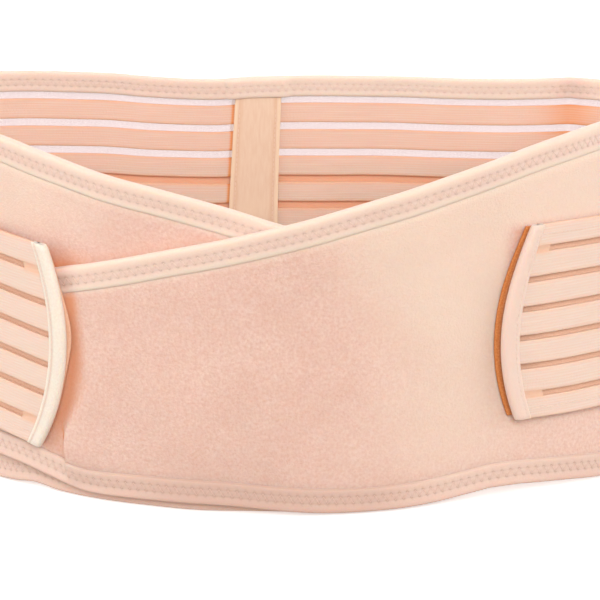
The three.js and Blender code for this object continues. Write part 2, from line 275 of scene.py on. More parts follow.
def ramps(rows):
    """Level runs joined by soft steps through rows of (position, value)."""
    t, v = np.array(rows, float).T

    def at(x):
        total = v[0] + np.zeros_like(np.asarray(x, float))
        for k in range(len(t) - 1):
            total = total + (v[k + 1] - v[k]) * smooth(t[k], t[k + 1], x)
        return total

    return at


# The three arcs of one half of the plan
BACK_HEADING = BACK_HALF / BACK_RADIUS
SIDE_CENTRE = np.array([
    (BACK_RADIUS - SIDE_RADIUS) * math.sin(BACK_HEADING),
    (BACK_RADIUS - SIDE_RADIUS) * math.cos(BACK_HEADING) - BACK_RADIUS,
])
FRONT_RADIUS = (SIDE_CENTRE[0] + SIDE_RADIUS * math.sin(FRONT_HEADING)) / math.sin(FRONT_HEADING)
FRONT_CENTRE_Y = SIDE_CENTRE[1] + (SIDE_RADIUS - FRONT_RADIUS) * math.cos(FRONT_HEADING)
FRONT_START = BACK_HALF + SIDE_RADIUS * (FRONT_HEADING - BACK_HEADING)
HALF_LOOP = FRONT_START + FRONT_RADIUS * (math.pi - FRONT_HEADING)
LOOP = 2 * HALF_LOOP
LIFT = FRONT_Y - (FRONT_CENTRE_Y - FRONT_RADIUS)

lean_at = curve(LEAN)
top_edge = curve(TOP_EDGE)
bottom_curve = curve(BOTTOM_EDGE)
ridge_foot = curve(RIDGE_FOOT)
ridge_crest = curve(RIDGE_CREST)
ridge_rise = curve(RIDGE_RISE)
bottom_shade = curve(BOTTOM_SHADE)
hollow_shade = curve(HOLLOW_SHADE)
left_wing_ramp = ramps(LEFT_WING_DEPTH)


def bottom_edge(along):
    return np.maximum(0, bottom_curve(along))


def drape(along, height):
    """Soft waves that all the layers share, and one upright crease at the right of the back."""
    turn = 2 * math.pi * along / LOOP
    waves = 0.45 * np.sin(11 * turn + height / 41 + 1) + 0.3 * np.sin(19 * turn - height / 24)
    upper = smooth(60, 150, height)
    crease = 1.6 * upper * hump(along, CREASE, 5)
    on_front = smooth(FRONT_START, FRONT_START + 60, np.abs(along))
    flare = LOWER_FLARE * on_front * np.clip(1 - height / LOWER_FLARE_RISE, 0, 1) ** 2
    return waves + crease + flare


def place(along, height, depth):
    """Scene points, in metres, for lengths along the loop, heights and depths off the plan."""
    along, height, depth = np.broadcast_arrays(
        np.asarray(along, float), np.asarray(height, float), np.asarray(depth, float)
    )
    wrapped = (along + HALF_LOOP) % LOOP - HALF_LOOP
    run = np.abs(wrapped)
    offset = depth + lean_at(wrapped) * np.maximum(0, 1 - height / LEAN_TOP) + drape(wrapped, height)
    on_front = run > FRONT_START
    on_side = (run > BACK_HALF) & ~on_front
    heading = run / BACK_RADIUS
    heading = np.where(on_side, BACK_HEADING + (run - BACK_HALF) / SIDE_RADIUS, heading)
    heading = np.where(on_front, FRONT_HEADING + (run - FRONT_START) / FRONT_RADIUS, heading)
    radius = np.where(on_front, FRONT_RADIUS, np.where(on_side, SIDE_RADIUS, BACK_RADIUS)) + offset
    centre_x = np.where(on_side, SIDE_CENTRE[0], 0.0)
    centre_y = np.where(on_front, FRONT_CENTRE_Y, np.where(on_side, SIDE_CENTRE[1], -BACK_RADIUS))
    x = np.sign(wrapped + 1e-9) * (centre_x + radius * np.sin(heading))
    y = centre_y + radius * np.cos(heading) + LIFT
    return np.stack([x, y, height], axis=-1) * MM


def ridge_flank(along, height):
    """0 at the foot of the ridge and beyond it, 1 from its crest on."""
    foot = ridge_foot(height)
    return smooth(0, 1, (foot - along) / (foot - ridge_crest(height)))


def cloth_depth(along, height):
    """Depth of the middle of the wings and the back off the plan."""
    past_crest = ridge_crest(height) - along
    ridge = ridge_rise(height) * ridge_flank(along, height) * (1 - smooth(0, RIDGE_RUN, past_crest))
    return np.where(along < 0, left_wing_ramp(along), ridge)


def make_mesh(name, points, faces, material, uv=None, tone=None):
    """Mesh object from points and faces, smooth but for its sharp edges."""
    mesh = bpy.data.meshes.new(name)
    mesh.from_pydata(points, [], faces)
    if uv is not None:
        layer = mesh.uv_layers.new(name="cloth")
        corner = np.empty(len(mesh.loops), np.int32)
        mesh.loops.foreach_get("vertex_index", corner)
        layer.data.foreach_set("uv", uv[corner].astype(np.float32).ravel())
    if tone is not None:
        attribute = mesh.attributes.new("tone", "FLOAT", "POINT")
        attribute.data.foreach_set("value", tone.astype(np.float32))
    mesh.shade_smooth()
    mesh.set_sharp_from_angle(angle=math.radians(55))
    mesh.materials.append(material)
    piece = bpy.data.objects.new(name, mesh)
    bpy.context.scene.collection.objects.link(piece)
    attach(piece, "root")
    return piece


def outward_faces(points, faces):
    """The quads, turned so that they look outward."""
    a, b, c, d = (points[faces[:, k]] for k in range(4))
    volume = np.einsum("ij,ij->i", a, np.cross(b, c) + np.cross(c, d)).sum()
    return faces if volume > 0 else faces[:, ::-1]


def cloth_sheet(name, along, height, depth, half, material, opened=None, tone=0.0, inner_tone=None):
    """Closed cloth on a grid: half is half the thickness, opened marks the cells that are cut away."""
    rows, columns = along.shape
    inner = place(along, height, depth - half).reshape(-1, 3)
    outer = place(along, height, depth + half).reshape(-1, 3)
    points = np.concatenate([inner, outer])
    low = np.arange(rows * columns).reshape(rows, columns)
    high = low + rows * columns
    solid = np.zeros((rows + 1, columns + 1), bool)
    solid[1:-1, 1:-1] = True if opened is None else ~opened
    here = solid[1:-1, 1:-1]
    corners = [(slice(None, -1), slice(None, -1)), (slice(None, -1), slice(1, None)),
               (slice(1, None), slice(1, None)), (slice(1, None), slice(None, -1))]
    p, q, r, s = ((low[c], high[c]) for c in corners)
    quads = [
        np.stack([p[1], q[1], r[1], s[1]], -1)[here],
        np.stack([p[0], s[0], r[0], q[0]], -1)[here],
        np.stack([p[0], q[0], q[1], p[1]], -1)[here & ~solid[:-2, 1:-1]],
        np.stack([s[0], s[1], r[1], r[0]], -1)[here & ~solid[2:, 1:-1]],
        np.stack([p[0], p[1], s[1], s[0]], -1)[here & ~solid[1:-1, :-2]],
        np.stack([q[0], r[0], r[1], q[1]], -1)[here & ~solid[1:-1, 2:]],
    ]
    faces = outward_faces(points, np.concatenate(quads))
    used, compact = np.unique(faces, return_inverse=True)
    flat = np.stack([along.ravel(), height.ravel()], -1) * MM
    uv = np.concatenate([flat, flat])[used]
    outer_shade = np.broadcast_to(tone, along.shape).ravel()
    inner_shade = outer_shade if inner_tone is None else np.broadcast_to(inner_tone, along.shape).ravel()
    shade = np.concatenate([inner_shade, outer_shade])[used]
    return make_mesh(name, points[used], compact.reshape(-1, 4), material, uv, shade)


def swept_tape(name, points, material, uv, tone):
    """Closed body through a row of closed sections, with flat ends."""
    stations, size, _ = points.shape
    index = np.arange(stations * size).reshape(stations, size)
    beside = np.roll(index, -1, axis=1)
    sides = np.stack([index[:-1], beside[:-1], beside[1:], index[1:]], -1).reshape(-1, 4)
    flat = points.reshape(-1, 3)
    turned = outward_faces(flat, sides)
    flipped = turned is not sides
    half = size // 2
    ends = []
    for ring, back in ((index[0], not flipped), (index[-1], flipped)):
        for k in range(half - 1):
            quad = [ring[k], ring[k + 1], ring[size - 2 - k], ring[size - 1 - k]]
            ends.append(quad[::-1] if back else quad)
    faces = np.concatenate([turned, np.array(ends)])
    return make_mesh(name, flat, faces, material, uv.reshape(-1, 2), tone.ravel())


def threads(name, along, height, depth, radius, material, sides=5, tone=None):
    """Thread tubes: each row of lengths, heights and depths is the middle line of one stitch."""
    centre = place(along, height, depth)
    outward = place(along, height, depth + 1.0) - centre
    outward /= np.linalg.norm(outward, axis=-1, keepdims=True)
    tangent = np.gradient(centre, axis=1)
    tangent /= np.linalg.norm(tangent, axis=-1, keepdims=True)
    across = np.cross(tangent, outward)
    across /= np.linalg.norm(across, axis=-1, keepdims=True)
    upright = np.cross(across, tangent)
    angle = np.arange(sides) * 2 * math.pi / sides
    ring = np.cos(angle)[:, None] * across[:, :, None] + np.sin(angle)[:, None] * upright[:, :, None]
    points = centre[:, :, None] + radius * MM * ring
    count, steps = centre.shape[:2]
    index = np.arange(count * steps * sides).reshape(count, steps, sides)
    beside = np.roll(index, -1, axis=2)
    tube = np.stack([index[:, :-1], index[:, 1:], beside[:, 1:], beside[:, :-1]], -1).reshape(-1, 4)
    faces = tube.tolist() + index[:, 0].tolist() + index[:, -1, ::-1].tolist()
    shade = None if tone is None else np.repeat(tone.ravel(), sides)
    return make_mesh(name, points.reshape(-1, 3), faces, material, tone=shade)


def stitch_row(name, path, face, length, step, radius, material):
    """Running stitches along a path of (along, height, depth) points, laid on one face of the cloth."""
    along, height, depth = (np.asarray(x, float) for x in path)
    run = np.concatenate([[0], np.cumsum(np.hypot(np.diff(along), np.diff(height)))])
    starts = np.arange(step / 2, run[-1] - length, step)
    part = np.linspace(0, 1, 5)
    at = starts[:, None] + length * part
    lift = radius * 1.5 * np.sin(math.pi * part) - radius * 0.8
    rows = [np.interp(at, run, values) for values in (along, height, depth)]
    return threads(name, rows[0], rows[1], rows[2] + face * lift, radius, material)


def linear(red, green, blue):
    """Cloth colour that shows as this 8-bit display colour under the studio light."""
    return tuple(((c / 255 + 0.055) / 1.055) ** 2.4 / STUDIO_LIGHT for c in (red, green, blue)) + (1.0,)


def cloth_shader(name, roughness, sheen, soak=0.0):
    """Cloth surface; soak is the share of light that spreads inside the cloth."""
    material = bpy.data.materials.new(name)
    material.use_nodes = True
    surface = material.node_tree.nodes["Principled BSDF"]
    surface.inputs["Roughness"].default_value = roughness
    surface.inputs["Specular IOR Level"].default_value = 0.15
    surface.inputs["Sheen Weight"].default_value = sheen
    surface.inputs["Sheen Roughness"].default_value = 0.6
    surface.inputs["Subsurface Weight"].default_value = soak
    surface.inputs["Subsurface Radius"].default_value = (1.0, 0.4, 0.2)
    surface.inputs["Subsurface Scale"].default_value = 0.004
    return material, material.node_tree, surface


def mix(tree, factor, first, second, way="MIX"):
    """Colour between two colours; each may be a value or a socket."""
    node = tree.nodes.new("ShaderNodeMix")
    node.data_type = "RGBA"
    node.blend_type = way
    for socket, value in ((node.inputs[0], factor), (node.inputs[6], first), (node.inputs[7], second)):
        if isinstance(value, bpy.types.NodeSocket):
            tree.links.new(value, socket)
        else:
            socket.default_value = value
    return node.outputs[2]


def stretch(tree, value, low, high):
    """Value moved from low..high to 0..1 and held there."""
    node = tree.nodes.new("ShaderNodeMapRange")
    node.inputs["From Min"].default_value = low
    node.inputs["From Max"].default_value = high
    tree.links.new(value, node.inputs["Value"])
    return node.outputs["Result"]


def noise(tree, scale, detail, space="Object"):
    """Noise in scene space, or in cloth space where scale has an entry for each direction."""
    coordinates = tree.nodes.new("ShaderNodeTexCoord")
    place_node = tree.nodes.new("ShaderNodeMapping")
    place_node.inputs["Scale"].default_value = scale if isinstance(scale, tuple) else (scale,) * 3
    texture = tree.nodes.new("ShaderNodeTexNoise")
    texture.inputs["Scale"].default_value = 1.0
    texture.inputs["Detail"].default_value = detail
    tree.links.new(coordinates.outputs[space], place_node.inputs["Vector"])
    tree.links.new(place_node.outputs["Vector"], texture.inputs["Vector"])
    return texture.outputs["Fac"]


def tone_of(tree, name="tone"):
    """Value that the mesh carries at each point under that name."""
    node = tree.nodes.new("ShaderNodeAttribute")
    node.attribute_name = name
    return node.outputs["Fac"]


def grain(tree, scale, space="Object"):
    """Fine noise of strong contrast."""
    return stretch(tree, noise(tree, scale, 2.0, space), 0.3, 0.7)


def toned(tree, colour, end, other):
    """Colour that turns into another one as the tone goes from 0 to that end."""
    return mix(tree, stretch(tree, tone_of(tree), 0.0, end), colour, other)


def bump(tree, surface, height, distance, strength):
    node = tree.nodes.new("ShaderNodeBump")
    node.inputs["Distance"].default_value = distance
    node.inputs["Strength"].default_value = strength
    tree.links.new(height, node.inputs["Height"])
    tree.links.new(node.outputs["Normal"], surface.inputs["Normal"])


def plush_material():
    """Nap with painted light above zero tone, painted warm shade below it, and painted grey shade low on
    the front.
    """
    material, tree, surface = cloth_shader("plush", 0.95, 0.25, 0.4)
    cloud = stretch(tree, noise(tree, 45.0, 2.0), 0.35, 0.65)
    broad = mix(tree, cloud, linear(236, 203, 189), linear(240, 210, 197))
    colour = mix(tree, grain(tree, 700.0), mix(tree, 0.7, broad, linear(224, 178, 161)), broad)
    # Painted light above zero tone, painted warm shade below it, painted grey shade low on the front
    colour = toned(tree, colour, 1.0, linear(242, 220, 202))
    colour = toned(tree, colour, -1.0, linear(243, 161, 112))
    colour = mix(tree, tone_of(tree, "low_shade"), colour, linear(200, 168, 155))
    tree.links.new(colour, surface.inputs["Base Color"])
    bump(tree, surface, noise(tree, 1100.0, 3.0), 0.0006, 0.5)
    return material


def elastic_material(name, dark, light):
    """Ribbed elastic between two colours, with painted orange shade below zero tone and painted deep shadow
    below -1.
    """
    material, tree, surface = cloth_shader(name, 0.8, 0.15, 0.4)
    colour = mix(tree, grain(tree, (40.0, 1600.0, 1.0), "UV"), dark, light)
    # Painted shade below zero tone, then painted deep shadow below -1
    colour = toned(tree, colour, -1.0, linear(241, 163, 106))
    deep = stretch(tree, tone_of(tree), -1.0, -2.0)
    colour = mix(tree, deep, colour, linear(192, 104, 50))
    tree.links.new(colour, surface.inputs["Base Color"])
    bump(tree, surface, noise(tree, (1100.0, 500.0, 1.0), 2.0, "UV"), 0.0003, 0.4)
    return material


def binding_material():
    """Edge tape with painted highlight on its rims above zero tone, and painted shade in its stitch dimples
    and hollows below it.
    """
    material, tree, surface = cloth_shader("binding", 0.85, 0.2, 0.4)
    colour = mix(tree, grain(tree, 1200.0), linear(245, 208, 193), linear(248, 215, 201))
    colour = toned(tree, colour, 1.0, linear(251, 228, 210))
    colour = toned(tree, colour, -1.0, linear(209, 172, 157))
    tree.links.new(colour, surface.inputs["Base Color"])
    bump(tree, surface, noise(tree, 1500.0, 2.0), 0.0003, 0.4)
    return material


def stay_material():
    """Smooth tape with pale rims above zero tone and painted shade in its seam grooves below it."""
    material, tree, surface = cloth_shader("stay_tape", 0.55, 0.3)
    cloud = stretch(tree, noise(tree, 30.0, 2.0), 0.35, 0.65)
    weave = grain(tree, (900.0, 120.0, 1.0), "UV")
    colour = mix(tree, weave, linear(237, 202, 175), linear(242, 212, 187))
    colour = mix(tree, cloud, colour, linear(246, 216, 188))
    colour = toned(tree, colour, 1.0, linear(249, 219, 188))
    colour = toned(tree, colour, -1.0, linear(226, 176, 138))
    tree.links.new(colour, surface.inputs["Base Color"])
    bump(tree, surface, noise(tree, (1500.0, 300.0, 1.0), 2.0, "UV"), 0.0002, 0.3)
    return material


def tab_tape_material():
    """Tab tape that is pinker above zero tone, with painted shade in its stitch dimples below it."""
    material, tree, surface = cloth_shader("tab_tape", 0.75, 0.2, 0.3)
    colour = mix(tree, grain(tree, 1000.0), linear(244, 228, 214), linear(249, 238, 224))
    colour = toned(tree, colour, 1.0, linear(243, 211, 197))
    colour = toned(tree, colour, -1.0, linear(222, 184, 168))
    tree.links.new(colour, surface.inputs["Base Color"])
    bump(tree, surface, noise(tree, 1400.0, 2.0), 0.0003, 0.4)
    return material


def hook_material():
    """Hook pad whose rim carries painted shadow from the lifted tab where its tone is 1."""
    material, tree, surface = cloth_shader("hook_pad", 0.6, 0.0)
    speckle = grain(tree, 1300.0)
    # Painted shadow on the pad's rim, under the lifted tab
    rim = mix(tree, speckle, linear(205, 118, 58), linear(224, 148, 90))
    cloth = mix(tree, speckle, linear(246, 196, 166), linear(250, 206, 178))
    tree.links.new(mix(tree, tone_of(tree), cloth, rim), surface.inputs["Base Color"])
    bump(tree, surface, noise(tree, 1600.0, 2.0), 0.0006, 0.7)
    return material


def thread_material(name, dark, light, deep):
    """Twisted thread between two colours, with painted shade where its tone is below zero."""
    material, tree, surface = cloth_shader(name, 0.7, 0.1)
    twist = stretch(tree, noise(tree, 2500.0, 1.0), 0.3, 0.7)
    colour = toned(tree, mix(tree, twist, dark, light), -1.0, deep)
    tree.links.new(colour, surface.inputs["Base Color"])
    return material


def floor_material():
    material, _, surface = cloth_shader("floor", 0.9, 0.0)
    surface.inputs["Base Color"].default_value = (0.9, 0.9, 0.9, 1.0)
    surface.inputs["Emission Color"].default_value = (1.0, 1.0, 1.0, 1.0)
    surface.inputs["Emission Strength"].default_value = 0.45
    return material


plush = plush_material()
elastic = elastic_material("elastic", linear(233, 202, 184), linear(238, 212, 196))
# Paler copy of the back's elastic for the straps: painted light
strap_lit_elastic = elastic_material("strap_lit_elastic", linear(237, 211, 196), linear(241, 219, 206))
binding = binding_material()
stay_tape = stay_material()
tab_tape = tab_tape_material()
hooks = hook_material()
shaded = linear(218, 178, 162)
thread = thread_material("thread", linear(242, 208, 191), linear(246, 216, 200), shaded)
# Darker copy of the thread for the lower edge tape: painted shade
low_shaded_thread = thread_material("low_shaded_thread", linear(238, 199, 183), linear(242, 206, 191), shaded)
stay_shade = linear(186, 112, 74)
bare_thread = thread_material("bare_thread", linear(218, 190, 194), linear(224, 199, 202), stay_shade)


def strip_rows(edges, ribs=8, samples=3):
    """Rows across slit elastic, whose strips have these (low, high) edges.

    Gives the row heights, the share of full thickness, the tone with painted shade in the rib grooves and
    along the strip edges, and for each gap whether it is a slit.
    """
    heights, shares, tones, gaps = [], [], [], []
    for k, (low, high) in enumerate(edges):
        if k:
            gaps.append(True)
        s = np.linspace(0, 1, ribs * samples + 1)
        wave = np.cos(2 * math.pi * ribs * s)
        share = 1 - 0.05 * wave
        share[[0, -1]] = 0.75
        share[[1, -2]] = 0.97
        # Painted shade in the rib grooves and along the strip edges beside the slits
        tone = np.where(wave > 0.5, -0.24, 0.0)
        tone[:3] = [-0.5, -0.4, -0.2]
        tone[-3:] = [-0.15, -0.4, -0.5]
        heights.extend(low + (high - low) * s)
        shares.extend(share)
        tones.extend(tone)
        gaps.extend([False] * (len(s) - 1))
    return np.array(heights), np.array(shares), np.array(tones), np.array(gaps)


def slit_strips(low, high, centres, height):
    """Strips left between slits of that height."""
    edges = [low]
    for centre in centres:
        edges += [centre - height / 2, centre + height / 2]
    edges.append(high)
    return list(zip(edges[::2], edges[1::2]))


def back_heights(along, row):
    """Heights of the back's rows, spread to the upper edge."""
    step = TAPE + GAP
    return row + (top_edge(along) - BACK_TOP_MEAN) * (row - step) / (BACK_TOP_MEAN - 2 * step)


BACK_SLITS = BACK_SLIT_TOP - BACK_SLIT_PITCH * np.arange(BACK_SLIT_COUNT - 1, -1, -1)
STRAP_SLITS = STRAP_SLIT_PITCH * (np.arange(STRAP_SLIT_COUNT) - (STRAP_SLIT_COUNT - 1) / 2)


def back_panel():
    step = TAPE + GAP
    slit_end = SIDE_SEAM - BACK_SLIT_MARGIN
    rows, shares, tones, gaps = strip_rows(
        slit_strips(step, BACK_TOP_MEAN - step, BACK_SLITS, BACK_SLIT_HEIGHT)
    )
    even = np.linspace(-SIDE_SEAM + 0.2, SIDE_SEAM - 0.2, 128)
    beside_stay = np.linspace(-27, -20.5, 20)
    columns = np.unique(np.concatenate([even, BACK_BAR, [-slit_end, slit_end], beside_stay]))
    along, row = np.meshgrid(columns, rows, indexing="ij")
    middle = (columns[1:] + columns[:-1]) / 2
    slit_here = (np.abs(middle) < slit_end) & ~((middle > BACK_BAR[0]) & (middle < BACK_BAR[1]))
    opened = slit_here[:, None] & gaps[None, :]
    half = ELASTIC / 2 * np.broadcast_to(shares, along.shape)
    depth = np.zeros_like(along)
    height = back_heights(along, row)
    cut = (np.abs(columns) <= slit_end) & ((columns <= BACK_BAR[0]) | (columns >= BACK_BAR[1]))
    outer = np.where(cut, 1.0, 0.3)[:, None] * tones
    # Painted shade along the crease at the back's right
    crease_shade = 0.55 * hump(along, CREASE + 2, 13) * smooth(110, 150, height)
    inner = outer - stay_shadow(along, height) - crease_shade
    return cloth_sheet("back_elastic", along, height, depth, half, elastic, opened, outer, inner)


def slit_threads():
    """Bare upright threads left in the back's slits above and below the straps."""
    slit_end = SIDE_SEAM - BACK_SLIT_MARGIN
    along = np.arange(-slit_end + 0.4, slit_end - 0.4, SLIT_THREAD_STEP)
    along = along[(along < BACK_BAR[0]) | (along > BACK_BAR[1])]
    reach = BACK_SLIT_HEIGHT / 2 + 0.4
    clear = BACK_SLITS[np.abs(BACK_SLITS - STRAP_MIDDLE) > STRAP_HALF]
    along, slit = (x.ravel()[:, None] for x in np.meshgrid(along, clear, indexing="ij"))
    row = slit + reach * np.array([-1.0, 1.0])
    along = np.broadcast_to(along, row.shape)
    height = back_heights(along, row)
    tone = -1.8 * stay_shadow(along, height)
    return threads("slit_threads", along, height, np.zeros_like(row), SLIT_THREAD, bare_thread, 4, tone)


def stay_left_edge(height):
    """Length along the loop just beside the stay tape's left edge."""
    spread = STAY_FOOT_SHARE + (1 - STAY_FOOT_SHARE) * height / BACK_TOP_MEAN
    return curve(STAY_CENTRE)(height) - STAY_WIDTH / 2 * spread - 0.6


def stay_shadow(along, height):
    """1 on a thin line beside the stay tape's left edge, 0 away from it."""
    return hump(along, stay_left_edge(height), 0.8)


def stay_place(across, share):
    """Lengths and heights on the stay tape, at a distance from its middle and a share of its height."""
    centre = curve(STAY_CENTRE)
    low = BINDING_WIDTH - STAY_UNDER_TAPE
    spread = STAY_FOOT_SHARE + (1 - STAY_FOOT_SHARE) * share
    along = centre(low + (BACK_TOP_MEAN - 2 * low) * share) + across * spread
    high = top_edge(along) - low
    return along, low + (high - low) * share


def back_stay():
    half_width = STAY_WIDTH / 2
    rim = np.array([0, 0.35])
    inside = np.linspace(-half_width + 1, half_width - 1, 18)
    across = np.concatenate([-half_width + rim, inside, half_width - rim[::-1]])
    share = np.linspace(0, 1, 90)
    u, v = np.meshgrid(across, share, indexing="ij")
    along, height = stay_place(u, v)
    edge = half_width - np.abs(u)
    groove = hump(edge, STAY_SEAM, 0.8)
    half = STAY / 2 * (0.45 + 0.5 * smooth(0, 1, edge) + 0.1 * smooth(3, 8, edge) - 0.2 * groove)
    depth = np.full_like(along, -(ELASTIC + STAY) / 2 - GAP)
    # Painted shade in the seam grooves
    tone = 1 - smooth(1.8, STAY_SEAM, edge) - groove
    return cloth_sheet("stay_tape", along, height, depth, half, stay_tape, tone=tone)


def stay_stitches(side, name):
    share = np.linspace(0.05, 0.95, 200)
    along, height = stay_place(np.full_like(share, side * (STAY_WIDTH / 2 - STAY_SEAM)), share)
    depth = np.full_like(share, -(ELASTIC + STAY) / 2 - GAP - 0.8 * STAY / 2)
    return stitch_row(name, (along, height, depth), -1, *STAY_STITCHES, THREAD, thread)


def under_strap(side, along, height):
    """1 on the wing below a strap, 0 away from it."""
    off_centre = np.abs(height - curve(STRAP_CENTRE[side])(along))
    before_tip = 1 - smooth(*STRAP_SHADE, np.abs(along))
    return smooth(STRAP_HALF, STRAP_HALF - 5, off_centre) * before_tip


def right_wing_tone(along, height):
    """Painted shade in the hollow by the left tab and under the strap; painted light towards the right
    side.
    """
    # Painted shade: a thin dark line at the ridge's foot, and the hollow beside the left tab
    line = hump(along, ridge_foot(height) - 0.4, 0.8) * smooth(14, 22, height) * smooth(42, 34, height)
    hollow = (1 - ridge_flank(along, height)) * hollow_shade(height) * smooth(600, 580, along)
    painted_shade = np.maximum(hollow, line)
    # Painted light towards the right side, and a low patch of it
    start = PALE_START + PALE_SLANT * np.maximum(0, height - PALE_SLANT_FROM)
    pale = PALE * smooth(start, start - PALE_RUN, along) * smooth(10, 95, height)
    low = LOW_PALE * hump(along, LOW_PALE_AT, LOW_PALE_RUN) * smooth(4, 30, height) * smooth(75, 45, height)
    pale = pale + low * (1 - pale)
    # Painted shade on the wing under the right strap
    below = under_strap(1, along, height)
    return pale * (1 - below) - np.maximum(painted_shade, 0.2 * below)


def left_wing_tone(along, height):
    """Painted shade in the corner by the left tab and under the strap; painted light towards the left."""
    above = np.maximum(0, height - top_edge(LOOP + along))
    past_tab = np.maximum(0, LEFT_NOOK - along)
    # Painted shade in the nook between the left tab and the right wing's edge
    nook = 0.15 * np.exp(-above / 7) + 0.85 * hump(past_tab, 0, 14) * np.exp(-above / 11)
    painted_shade = nook * smooth(-315, -335, along)
    # Painted light away from the right wing's edge
    pale = 0.7 * smooth(-410, -320, along) * (1 - np.exp(-above / 12))
    # Painted shade on the wing under the left strap
    below = under_strap(-1, along, height)
    return pale * (1 - below) - np.maximum(painted_shade, 0.5 * below)


def wing_columns(start, end):
    """Stations along a wing, closer at its ends and, on the right wing, at the ridge."""
    ends = np.array([0, 0.3, 0.8, 1.5])
    even = np.linspace(start + 2.5, end - 2.5, int(abs(end - start) / 1.7))
    columns = np.concatenate([start + ends, even, end - ends[::-1]])
    if start < 0:
        return columns
    fine = np.arange(FINE_FROM, FINE_TO, FINE_STEP)
    return np.concatenate([columns[columns < FINE_FROM - 0.5], fine, columns[columns > FINE_TO + 0.5]])


def wing(name, start, end):
    inside = TAPE + GAP + 0.1
    columns = wing_columns(start, end)
    along, v = np.meshgrid(columns, np.linspace(0, 1, 84), indexing="ij")
    low = bottom_edge(along) + inside
    high = top_edge(along) - inside
    height = low + (high - low) * v
    from_edge = np.minimum(height - low, high - height) + inside - BINDING_WIDTH
    from_top = high - height + inside - BINDING_WIDTH
    round_end = 0.35 + 0.65 * rounded(np.minimum(along - start, end - along), 1.5)
    puff = 0.5 * smooth(-0.4, 2.5, from_edge) * (1 - smooth(9, 30, from_edge))
    random = np.random.default_rng(7 if start > 0 else 11)
    nap = 0.04 * np.gradient(columns)[:, None] * random.standard_normal(along.shape)
    half = (PLUSH / 2 + puff + nap * smooth(0, 3, from_edge)) * round_end
    tone = right_wing_tone(along, height) if start > 0 else left_wing_tone(along, height)
    # Painted light just below the upper edge tape, lifting the shade that the tape casts there
    tone = tone + 0.5 * hump(from_top, 0.5, 1.6)
    depth = cloth_depth(along, height)
    piece = cloth_sheet(name, along, height, depth, half, plush, tone=tone, inner_tone=0.0)
    # Painted shade low on the front, carried in a point value of its own
    low_shade = LOW_SHADE * smooth(LOW_SHADE_TOP, LOW_SHADE_FOOT, height) * hump(along, LOW_SHADE_MIDDLE, LOW_SHADE_RUN)
    values = np.concatenate([np.zeros(low_shade.size), low_shade.ravel()])
    layer = piece.data.attributes.new("low_shade", "FLOAT", "POINT")
    layer.data.foreach_set("value", values.astype(np.float32))
    return piece


def zigzag_stations():
    """Lengths along the whole edge, four for each period of the zigzag, and their numbers."""
    count = int((RIGHT_WING_END - LEFT_WING_END) / ZIGZAG_STEP * 4)
    quarters = np.arange(1, count)
    return LEFT_WING_END + quarters * ZIGZAG_STEP / 4, quarters


def tape_share(along):
    """Width of the edge tape as a share of its width on the wings."""
    on_back = 1 - smooth(SIDE_SEAM - 15, SIDE_SEAM + 15, np.abs(along))
    return 1 - (1 - BACK_BINDING_SHARE) * on_back


def backing(along):
    """Half the thickness of the cloth inside the edge tape."""
    return ELASTIC / 2 + (PLUSH - ELASTIC) / 2 * smooth(SIDE_SEAM - 30, SIDE_SEAM, np.abs(along))


def stay_swell(along):
    """How far the edge tape stands inward where it laps over the stay tape."""
    past_stay = np.abs(along - STRAP_SEAM - 0.5) - STAY_WIDTH / 2
    return STAY_BULGE * (1 - smooth(1, 6, past_stay))


def tape_inside(fold, face):
    """Distance from the middle of the cloth to the inside of the edge tape."""
    return backing(fold) + GAP + (stay_swell(fold) if face < 0 else 0)


# Across the edge tape: distance in from the fold, swell of the face, tone of the colour (painted highlight
# on the rims above zero, painted shade at the stitch dimples below it)
TAPE_FACE = [
    (0.0, 0.0, 0.3), (0.55, 0.0, 0.45), (1.4, 0.04, 0.6), (2.4, 0.06, 0.55), (3.5, 0.04, 0.3),
    (ZIGZAG_LOW - 0.8, -0.02, 0.0), (ZIGZAG_LOW, -0.1, -0.1), (ZIGZAG_LOW + 0.8, -0.05, 0.0),
    (ZIGZAG_HIGH - 0.8, -0.05, 0.0), (ZIGZAG_HIGH, -0.1, -0.1), (ZIGZAG_HIGH + 0.8, -0.02, 0.1),
    (10.4, 0.02, 0.5), (11.4, -0.05, 0.7), (12.0, -0.25, 0.7), (BINDING_WIDTH, -0.6, 0.6),
]


def edge_frame(fold, edge_at, sign):
    """Direction from the fold into the cloth, as shares along the loop and upward."""
    slope = (edge_at(fold + 1) - edge_at(fold - 1)) / 2
    size = np.hypot(1, slope)
    return -sign * slope / size, sign / size


def top_tone(along):
    """Paler on the back, with painted shade at the back's crease and beside the left tab."""
    back = 0.3 * smooth(-60, 0, along) * (1 - smooth(SIDE_SEAM - 40, SIDE_SEAM, along))
    return back - 0.55 * hump(along, CREASE + 2, 11) - 0.6 * hump(along, TAB_SHADE_AT, 5)


def folded_section(outer_in, inner_in, cloth, swell, tone, radius):
    """Sections of a folded tape: distances in from the fold, depths and tones, once round the section.

    cloth gives the distance from the middle of the cloth to the tape on its inner and its outer face.
    """
    below, above = cloth
    thickness = 0.25 + 0.75 * rounded(outer_in, radius)
    hollow = np.array([1, 1, 1, 0.6])
    offset = np.concatenate([
        -((below + TAPE) * thickness + swell)[:, ::-1],
        (above + TAPE) * thickness + swell,
        above * hollow,
        -(below * hollow)[:, ::-1],
    ], axis=1)
    distance = np.concatenate([outer_in[::-1], outer_in, inner_in, inner_in[::-1]])
    tone = np.broadcast_to(tone, (len(offset), len(outer_in)))
    inside = np.zeros((len(offset), 2 * len(inner_in)))
    return distance, offset, np.concatenate([tone[:, ::-1], tone, inside], axis=1)


